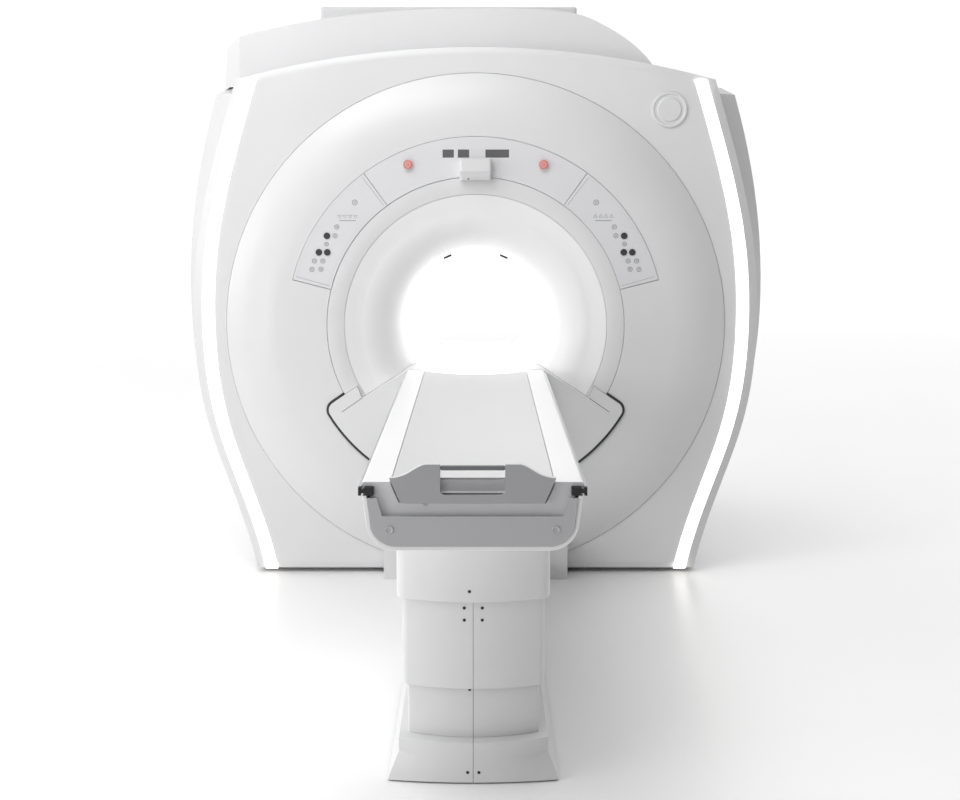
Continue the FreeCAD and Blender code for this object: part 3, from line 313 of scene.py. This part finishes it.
def moulded(name, finish, radius=None):
    """A finished copy of a CAD node: joined faces, smooth curves, rounded edges."""
    mesh = frame["nodes"][name].data.copy()
    mesh.name = name + "_moulded"
    bm = bmesh.new()
    bm.from_mesh(mesh)
    bmesh.ops.remove_doubles(bm, verts=bm.verts, dist=MERGE)
    bmesh.ops.dissolve_degenerate(bm, dist=SLIVER, edges=bm.edges)
    bmesh.ops.dissolve_limit(bm, angle_limit=math.radians(FLAT_ANGLE), verts=bm.verts, edges=bm.edges,
                             use_dissolve_boundaries=False)
    for face in bm.faces:
        face.smooth = True
    limit = math.radians(SHARP_ANGLE)
    for edge in bm.edges:
        edge.smooth = not (edge.is_manifold and edge.calc_face_angle(0.0) > limit)
    bm.to_mesh(mesh)
    bm.free()
    for layer in list(mesh.uv_layers):
        mesh.uv_layers.remove(layer)
    obj = make_object(name + "_finished", mesh, finish)
    bevel = obj.modifiers.new("rounded_edges", "BEVEL")
    bevel.width = radius or sizes().edge_round
    bevel.segments = 2
    bevel.limit_method = "ANGLE"
    bevel.angle_limit = limit
    weighted = obj.modifiers.new("even_shading", "WEIGHTED_NORMAL")
    weighted.keep_sharp = True
    return put(obj, body_of_node(name), slot_of_node(name), name)


def grey_end(obj, beyond, finish):
    """Gives the faces that look out of the table's end a darker grey: partly the plastic's own grey, partly
    painted shade, as those faces get little light.
    """
    obj.data.materials.append(finish_of(finish))
    for face in obj.data.polygons:
        if face.normal.y < -0.9 and face.center.y < beyond:
            face.material_index = 1


def bare(name, finish):
    """A CAD node that shows as it is, with its finish."""
    obj = frame["nodes"][name]
    obj.data.materials.clear()
    obj.data.materials.append(finish_of(finish))
    for face in obj.data.polygons:
        face.use_smooth = False


def finish_mesh(bm, name, finish):
    bmesh.ops.recalc_face_normals(bm, faces=bm.faces)
    mesh = bpy.data.meshes.new(name)
    bm.to_mesh(mesh)
    bm.free()
    return make_object(name, mesh, finish)


def on_front(name, x, z):
    """The point of a CAD node's front that faces the table's end at (x, z)."""
    bm = bmesh.new()
    bm.from_mesh(frame["nodes"][name].data)
    place = BVHTree.FromBMesh(bm).ray_cast(Vector((x, CAD_BOX[0].y - 1, z)), Vector((0.0, 1.0, 0.0)))[0]
    bm.free()
    if place is None:
        raise RuntimeError("no front of %s at %.3f, %.3f" % (name, x, z))
    return place


def facing_out(place, turn=0.0):
    """Turns a shape made on its back so that it faces the table's end at a place."""
    upright = Matrix.Rotation(math.radians(90), 4, "X")
    return Matrix.Translation(place) @ upright @ Matrix.Rotation(turn, 4, "Z")


def raise_faces(bm, faces, vector):
    """Extrudes a flat patch into a closed raised shape and returns its top."""
    grown = bmesh.ops.extrude_face_region(bm, geom=faces)["geom"]
    bmesh.ops.translate(bm, verts=[v for v in grown if isinstance(v, bmesh.types.BMVert)], vec=vector)
    return [f for f in grown if isinstance(f, bmesh.types.BMFace)]


def add_head(bm, place, radius, height):
    """A round screw head with a turned-in socket."""
    disc = bmesh.ops.create_circle(bm, cap_ends=True, segments=28, radius=radius, matrix=facing_out(place))
    top = raise_faces(bm, list(disc["verts"][0].link_faces), Vector((0.0, -height, 0.0)))
    bmesh.ops.bevel(bm, geom=list(top[0].edges), offset=height * 0.45, segments=2, profile=0.5,
                    affect="EDGES", material=-1)
    face = min((f for f in bm.faces if (f.calc_center_median() - place).length < height * 1.5),
               key=lambda f: f.calc_center_median().y)
    bmesh.ops.inset_individual(bm, faces=[face], thickness=radius * 0.4)
    bmesh.ops.translate(bm, verts=face.verts, vec=Vector((0.0, height * 0.6, 0.0)))


def add_outline(bm, place, radius, line, lift, segments=20, turn=0.0):
    """A printed outline: a thin ring or, with few segments, a triangle or square."""
    disc = bmesh.ops.create_circle(bm, cap_ends=True, segments=segments, radius=radius,
                                   matrix=facing_out(place, turn))
    face = disc["verts"][0].link_faces[0]
    rim = bmesh.ops.inset_individual(bm, faces=[face], thickness=line)["faces"]
    bmesh.ops.delete(bm, geom=[face], context="FACES_ONLY")
    raise_faces(bm, rim, Vector((0.0, -lift, 0.0)))


def add_border(bm, side, front, border, line, lift):
    """A fine line just inside the edge of a panel that is part of a ring round the bore."""
    inner, outer, low_angle, high_angle = border
    corner = {}
    for key, radius, angle in (("in_low", inner, low_angle), ("in_high", inner, high_angle),
                               ("out_low", outer, low_angle), ("out_high", outer, high_angle)):
        at = math.radians(angle)
        corner[key] = Vector((side * radius * math.cos(at), front, AXIS_Z + radius * math.sin(at)))
    for start, end in (("in_low", "out_low"), ("in_high", "out_high")):
        add_bar(bm, corner[start], corner[end], line, 2 * lift)
    for start in ("in_low", "out_low"):
        spot = Matrix.Translation(corner[start]) @ Matrix.Rotation(-side * math.radians(low_angle), 4, "Y")
        shape = spot @ Matrix.Diagonal((line, 2 * lift, line / 9, 1.0))
        section = bmesh.ops.create_cube(bm, size=1.0, matrix=shape)
        top = max({face for vert in section["verts"] for face in vert.link_faces},
                  key=lambda face: face.calc_center_median().z)
        bmesh.ops.delete(bm, geom=[top], context="FACES_ONLY")
        open_edges = list({edge for vert in section["verts"] for edge in vert.link_edges if edge.is_boundary})
        bmesh.ops.spin(bm, geom=open_edges, cent=(0.0, 0.0, AXIS_Z), axis=(0.0, 1.0, 0.0),
                       dvec=(0.0, 0.0, 0.0), angle=-side * math.radians(high_angle - low_angle), steps=28,
                       use_merge=False)


def add_bar(bm, start, end, width, depth):
    """A thin straight bar between two points of one front, facing the table's end."""
    along = end - start
    turn = math.atan2(along.z, along.x)
    shape = (Matrix.Translation((start + end) / 2) @ Matrix.Rotation(-turn, 4, "Y")
             @ Matrix.Diagonal((along.length, depth, width, 1.0)))
    bmesh.ops.create_cube(bm, size=1.0, matrix=shape)


def add_block(bm, low, high, radius, segments=2):
    """A block between two corners with every edge rounded."""
    low, high = Vector(low), Vector(high)
    shape = Matrix.Translation((low + high) / 2) @ Matrix.Diagonal((*(high - low), 1.0))
    block = bmesh.ops.create_cube(bm, size=1.0, matrix=shape)
    edges = list({edge for vert in block["verts"] for edge in vert.link_edges})
    bmesh.ops.bevel(bm, geom=edges, offset=radius, segments=segments, profile=0.5, affect="EDGES",
                    material=-1)


# ---------------------------------------------------------------- covers
class SCANNER_OT_covers(bpy.types.Operator):
    """Finish the painted covers round the magnet"""
    bl_idname = "scanner.covers"
    bl_label = "Magnet covers"

    def execute(self, context):
        for name in ("front_cover", "front_dome_cover", "bezel_ring", "dock_sill_cover", "dock_foot_cover",
                     "left_side_cover", "right_side_cover", "top_hood", "top_service_box", "rear_cover",
                     "laser_housing", "badge_disc"):
            moulded(name, "satin_cover_paint")
        moulded("dock_gasket", "nitrile_rubber")
        moulded("light_strips", "opal_strip", radius=2.5 * MM)
        return {"FINISHED"}


class SCANNER_OT_bore(bpy.types.Operator):
    """Finish the funnels, the bore and what lies in it"""
    bl_idname = "scanner.bore"
    bl_label = "Bore"

    def execute(self, context):
        moulded("front_funnel", "bore_gelcoat")
        moulded("rear_funnel", "satin_cover_paint")
        # Painted light: the liner and the bridge glow, standing for the light in the bore.
        for name in ("bore_liner", "bore_bridge"):
            moulded(name, "liner_painted_glow")
        bare("bore_lights", "opal_bore")
        return {"FINISHED"}


class SCANNER_OT_panels(bpy.types.Operator):
    """Finish the control panels, windows and buttons"""
    bl_idname = "scanner.panels"
    bl_label = "Panels and buttons"

    def execute(self, context):
        for name in ("display_panel", "left_control_panel", "right_control_panel"):
            moulded(name, "polyester_overlay", radius=0.8 * MM)
        moulded("display_windows", "smoked_acrylic", radius=0.4 * MM)
        for side in ("left", "right"):
            moulded(side + "_stop_button", "stop_polycarbonate", radius=0.4 * MM)
            for number in (1, 2, 3):
                moulded("%s_button_%d" % (side, number), "button_nylon", radius=0.4 * MM)
        return {"FINISHED"}


class SCANNER_OT_table(bpy.types.Operator):
    """Finish the patient table and its cradle"""
    bl_idname = "scanner.table"
    bl_label = "Patient table"

    def execute(self, context):
        for name in ("side_rails", "table_tray"):
            moulded(name, "table_abs")
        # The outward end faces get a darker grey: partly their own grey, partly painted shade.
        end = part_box("end_frame")[0].y + 5 * MM
        grey_end(moulded("cradle", "cradle_laminate"), end, "cradle_end_grey_and_shade")
        grey_end(moulded("end_frame", "table_abs"), end, "frame_end_grey_and_shade")
        moulded("end_apron", "apron_abs")
        moulded("rail_end_caps", "black_nylon", radius=0.6 * MM)
        moulded("accessory_rails", "satin_aluminium", radius=0.5 * MM)
        bare("table_chassis", "satin_aluminium")
        bare("drive_wheel", "nitrile_rubber")
        bare("drive_motor", "powder_coated_steel")
        return {"FINISHED"}


class SCANNER_OT_pedestal(bpy.types.Operator):
    """Finish the telescoping pedestal and the base"""
    bl_idname = "scanner.pedestal"
    bl_label = "Pedestal"

    def execute(self, context):
        for name in ("upper_cover", "middle_covers", "lower_covers", "base_covers"):
            moulded(name, "satin_cover_paint", radius=1.2 * MM)
        moulded("table_base_plate", "powder_coated_steel")
        for name in ("column_base_stage", "column_middle_stage", "column_top_stage"):
            bare(name, "powder_coated_steel")
        return {"FINISHED"}


class SCANNER_OT_magnet(bpy.types.Operator):
    """Give the pieces inside the covers their finishes"""
    bl_idname = "scanner.magnet"
    bl_label = "Magnet"

    def execute(self, context):
        inside = {"vacuum_vessel": "vessel_paint", "magnet_feet": "vessel_paint",
                  "radiation_shield": "satin_aluminium", "cover_posts": "satin_aluminium",
                  "helium_vessel": "stainless_steel", "cold_head": "stainless_steel",
                  "quench_vent_pipe": "stainless_steel", "superconducting_coils": "copper_foil",
                  "rf_body_coil": "copper_foil", "gradient_coil": "cast_epoxy",
                  "suspension_posts": "cast_epoxy"}
        for name, finish in inside.items():
            bare(name, finish)
        return {"FINISHED"}


class SCANNER_OT_key_print(bpy.types.Operator):
    """Print plain generic outlines beside the keys of both control panels"""
    bl_idname = "scanner.key_print"
    bl_label = "Key print"

    # Across from the axis, height, and size as a share of one symbol's height.
    ROUND = ((0.483, 1.533, 1.0), (0.556, 1.435, 0.9), (0.563, 1.400, 0.9), (0.598, 1.3665, 0.8),
             (0.613, 1.299, 0.9), (0.647, 1.299, 0.9), (0.621, 1.266, 0.9), (0.657, 1.265, 0.9))
    ARROWS = (0.480, 0.502, 0.523, 0.544)
    ARROW_Z = 1.478
    BORDER = (0.6105, 0.7475, 15.6, 52.9)      # inner and outer radius, lower and upper angle
    # Shares of the symbol's height: line width, inner square, arrow, and the rule's drop below the arrows.
    LINE, INNER, ARROW, DROP = 0.09, 0.26, 0.42, 0.8
    STOP_RINGS = ((0.42, 24), (0.2, 4))      # share of the knob's width, and number of sides

    def execute(self, context):
        size, lift = sizes().symbol_height, sizes().print_lift
        line = size * self.LINE
        for name, side in (("left", -1), ("right", 1)):
            panel = name + "_control_panel"
            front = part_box(panel)[0].y
            bm = bmesh.new()
            for x, z, scale in self.ROUND:
                place = Vector((side * x, front, z))
                add_outline(bm, place, size * scale / 2, line, lift)
                add_outline(bm, place, size * scale * self.INNER, line, lift, segments=4,
                            turn=math.radians(45))
            for x in self.ARROWS:
                place = Vector((side * x, front, self.ARROW_Z))
                add_outline(bm, place, size * self.ARROW, line, lift, segments=3,
                            turn=math.radians(180 if side < 0 else 0))
            add_border(bm, side, front, self.BORDER, line / 2, lift)
            below = self.ARROW_Z - size * self.DROP
            first, last = (Vector((side * self.ARROWS[end], front, below)) for end in (0, -1))
            add_bar(bm, first, last, line, 2 * lift)
            put(finish_mesh(bm, name + "_key_print", "print_and_crease_shade_ink"), body_of_node(panel), "panel_paint")

            knob = name + "_stop_button"
            low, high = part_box(knob)
            face = Vector(((low.x + high.x) / 2, low.y, (low.z + high.z) / 2))
            bm = bmesh.new()
            for scale, segments in self.STOP_RINGS:
                add_outline(bm, face, (high.x - low.x) * scale, line, lift, segments=segments)
            put(finish_mesh(bm, name + "_stop_print", "stop_ink"), body_of_node(knob), "stop_red")
        return {"FINISHED"}


class SCANNER_OT_small_parts(bpy.types.Operator):
    """Add the laser window, the bore ports and dark lines of painted shade along the creases of the sill"""
    bl_idname = "scanner.small_parts"
    bl_label = "Ports and creases"

    LASER = (-0.028, 1.628, 4 * MM, 1 * MM)      # across, height, radius, depth
    # One port before it is turned to its place: from and to, measured from the bore's axis.
    PORT = ((-0.017, -0.6279, 0.2905), (0.017, -0.606, 0.2985))
    PORT_ROUND = 3 * MM
    PORT_LEAN = 23.5      # degrees from the top of the bore
    CREASE = ((0.460, 0.744), (0.542, 0.687))      # its two ends: across and height
    CREASE_WIDTH, CREASE_DEPTH = 2.5 * MM, 0.8 * MM

    def execute(self, context):
        bm = bmesh.new()
        x, z, radius, depth = self.LASER
        add_head(bm, on_front("laser_housing", x, z), radius, depth)
        put(finish_mesh(bm, "laser_window", "smoked_acrylic"), body_of_node("laser_housing"), "display_glass")

        bm = bmesh.new()
        add_block(bm, *self.PORT, self.PORT_ROUND)
        pad = bm.verts[:] + bm.edges[:] + bm.faces[:]
        other = [g for g in bmesh.ops.duplicate(bm, geom=pad)["geom"] if isinstance(g, bmesh.types.BMVert)]
        first = [g for g in pad if isinstance(g, bmesh.types.BMVert)]
        for verts, lean in ((first, -self.PORT_LEAN), (other, self.PORT_LEAN)):
            bmesh.ops.rotate(bm, verts=verts, cent=Vector(),
                             matrix=Matrix.Rotation(math.radians(lean), 3, "Y"))
            bmesh.ops.translate(bm, verts=verts, vec=Vector((0.0, 0.0, AXIS_Z)))
        put(finish_mesh(bm, "bore_ports", "black_nylon"), body_of_node("bore_liner"), "black_plastic")

        # Painted shade: dark bars in the print grey along the sill's two creases, where the grooves fall
        # dark.
        bm = bmesh.new()
        for side in (-1, 1):
            inner, outer = (on_front("dock_sill_cover", side * x, z) for x, z in self.CREASE)
            add_bar(bm, inner, outer, self.CREASE_WIDTH, self.CREASE_DEPTH)
        put(finish_mesh(bm, "sill_creases", "print_and_crease_shade_ink"), body_of_node("dock_sill_cover"), "cover_paint")
        return {"FINISHED"}


class SCANNER_OT_table_parts(bpy.types.Operator):
    """Add the cradle's grip and the screws of the apron and pedestal"""
    bl_idname = "scanner.table_parts"
    bl_label = "Grip and screws"

    # Places are across and height on the front of each cover.
    SCREWS = {"upper_cover": ((-0.010, 0.520),),
              "middle_covers": ((-0.024, 0.470), (0.024, 0.470), (-0.024, 0.437), (0.024, 0.437)),
              "lower_covers": ((-0.010, 0.240),),
              "base_covers": ((-0.015, 0.030), (0.015, 0.030))}
    SCREW_DEPTH, APRON_SCREW_DEPTH = 1.2 * MM, 3 * MM
    APRON_SCREW = (0.206, 0.744)
    GRIP_HALF, GRIP_Z, GRIP_Y, GRIP_ROUND = 0.080, (0.892, 0.904), (2 * MM, 15 * MM), 4 * MM
    CATCH = (-0.117, 0.808, 7 * MM, 3 * MM)      # across, height, radius, depth

    def execute(self, context):
        radius = sizes().screw_radius
        for cover, places in self.SCREWS.items():
            bm = bmesh.new()
            for x, z in places:
                add_head(bm, on_front(cover, x, z), radius, self.SCREW_DEPTH)
            put(finish_mesh(bm, cover + "_screws", "black_nylon"), body_of_node(cover), "black_plastic")

        bm = bmesh.new()
        for side in (-1, 1):
            add_head(bm, on_front("end_apron", side * self.APRON_SCREW[0], self.APRON_SCREW[1]),
                     sizes().apron_screw_radius, self.APRON_SCREW_DEPTH)
        put(finish_mesh(bm, "apron_screws", "apron_abs"), body_of_node("end_apron"), "apron_grey")

        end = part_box("cradle")[0].y
        low, high = ((side * self.GRIP_HALF, end + y, z)
                     for side, y, z in zip((-1, 1), self.GRIP_Y, self.GRIP_Z))
        bm = bmesh.new()
        add_block(bm, low, high, self.GRIP_ROUND, segments=3)
        put(finish_mesh(bm, "cradle_grip", "powder_coated_steel"), body_of_node("cradle"), "dark_steel")

        bm = bmesh.new()
        x, z, radius, depth = self.CATCH
        add_head(bm, on_front("end_frame", x, z), radius, depth)
        put(finish_mesh(bm, "end_frame_catch", "apron_abs"), body_of_node("end_frame"), "apron_grey")
        return {"FINISHED"}


# ---------------------------------------------------------------- stage
def area_light(name, place, aim, size, power):
    data = bpy.data.lights.new(name, "AREA")
    data.shape = "RECTANGLE"
    data.size, data.size_y = size
    data.energy = power
    obj = bpy.data.objects.new(name, data)
    bpy.context.scene.collection.objects.link(obj)
    obj.location = place
    obj.rotation_euler = (Vector(aim) - Vector(place)).to_track_quat("-Z", "Y").to_euler()


class SCANNER_OT_stage(bpy.types.Operator):
    """Make the floor, the lights and the camera"""
    bl_idname = "scanner.stage"
    bl_label = "Stage"

    FLOOR_HALF = 40.0
    # Light from the backdrop: bright behind the scanner and overhead, dimmer in front, and brighter on
    # the left.
    # Each part rises along one axis of direction, from start to end, from low to high.
    BACKDROP = (("Y", 0.1, 0.6, 0.13, 1.02), ("Z", 0.4, 0.95, 0.0, 0.55), ("X", 0.1, -0.9, 0.0, 0.3))
    # Name, place, aim, size and power in watts.
    LAMPS = (("key_light", (-5.9, -3.9, 2.3), (0.0, -1.8, 0.8), (3.0, 2.5), 84.0),
             ("table_light", (-2.5, -4.7, 0.9), (-0.1, -2.7, 0.35), (1.0, 1.2), 17.0),
             ("top_light", (-1.1, -2.9, 3.9), (-0.1, -0.8, 1.5), (2.6, 1.6), 52.0),
             ("far_floor_light", (0.0, 27.0, 5.0), (0.0, 27.0, 0.0), (60.0, 28.0), 3000.0))
    LOOK_DOWN = 5.422
    CAMERA_X = 0.018
    SHIFT = -0.08

    def execute(self, context):
        scene = context.scene
        scene.view_settings.view_transform = "Standard"
        bm = bmesh.new()
        bmesh.ops.create_grid(bm, x_segments=1, y_segments=1, size=self.FLOOR_HALF)
        finish_mesh(bm, "floor", "poured_floor")

        world = bpy.data.worlds.new("soft_studio")
        world.use_nodes = True
        tree = world.node_tree
        sky = tree.nodes["Background"]
        sky.inputs["Color"].default_value = linear("#FFFFFF")
        where = node(tree, "ShaderNodeTexCoord")
        axis = node(tree, "ShaderNodeSeparateXYZ", [("Vector", where.outputs["Generated"])])
        total = None
        for source, start, end, low, high in self.BACKDROP:
            part = node(tree, "ShaderNodeMapRange", [("Value", axis.outputs[source])],
                        interpolation_type="SMOOTHSTEP", From_Min=start, From_Max=end, To_Min=low,
                        To_Max=high)
            total = part.outputs["Result"] if total is None else node(
                tree, "ShaderNodeMath", [(0, total), (1, part.outputs["Result"])]).outputs["Value"]
        # The backdrop itself is white from every side; only the light it gives is dimmer in front.
        seen = node(tree, "ShaderNodeLightPath").outputs["Is Camera Ray"]
        backdrop = node(tree, "ShaderNodeMath", [(0, total), (1, seen)], operation="MAXIMUM")
        tree.links.new(backdrop.outputs["Value"], sky.inputs["Strength"])
        scene.world = world

        for lamp in self.LAMPS:
            area_light(*lamp)

        camera_data = bpy.data.cameras.new("camera")
        camera_data.lens = room().lens
        camera_data.sensor_width = 36.0
        camera_data.shift_y = self.SHIFT
        camera = bpy.data.objects.new("camera", camera_data)
        scene.collection.objects.link(camera)
        camera.location = (self.CAMERA_X, -room().distance, room().eye_height)
        camera.rotation_euler = (math.radians(90.0 - self.LOOK_DOWN), 0.0, 0.0)
        scene.camera = camera
        return {"FINISHED"}


class SCANNER_PT_panel(bpy.types.Panel):
    bl_label = "Scanner"
    bl_idname = "SCANNER_PT_panel"
    bl_space_type = "VIEW_3D"
    bl_region_type = "UI"
    bl_category = "Scanner"

    def draw(self, context):
        for operator in OPERATORS:
            self.layout.operator(operator.bl_idname)


GROUPS = {"scanner_sizes": ScannerSizes, "scanner_colours": ScannerColours, "scanner_room": ScannerRoom}
OPERATORS = (SCANNER_OT_stage, SCANNER_OT_covers, SCANNER_OT_bore, SCANNER_OT_panels, SCANNER_OT_table,
             SCANNER_OT_pedestal, SCANNER_OT_magnet, SCANNER_OT_key_print, SCANNER_OT_small_parts,
             SCANNER_OT_table_parts)


def register():
    for cls in (*GROUPS.values(), *OPERATORS, SCANNER_PT_panel):
        bpy.utils.register_class(cls)
    for name, cls in GROUPS.items():
        setattr(bpy.types.Scene, name, bpy.props.PointerProperty(type=cls))


def unregister():
    for name in GROUPS:
        delattr(bpy.types.Scene, name)
    for cls in reversed((*GROUPS.values(), *OPERATORS, SCANNER_PT_panel)):
        bpy.utils.unregister_class(cls)


def main():
    register()
    for operator in OPERATORS:
        group, name = operator.bl_idname.split(".")
        getattr(getattr(bpy.ops, group), name)()


if __name__ == "__main__":
    main()
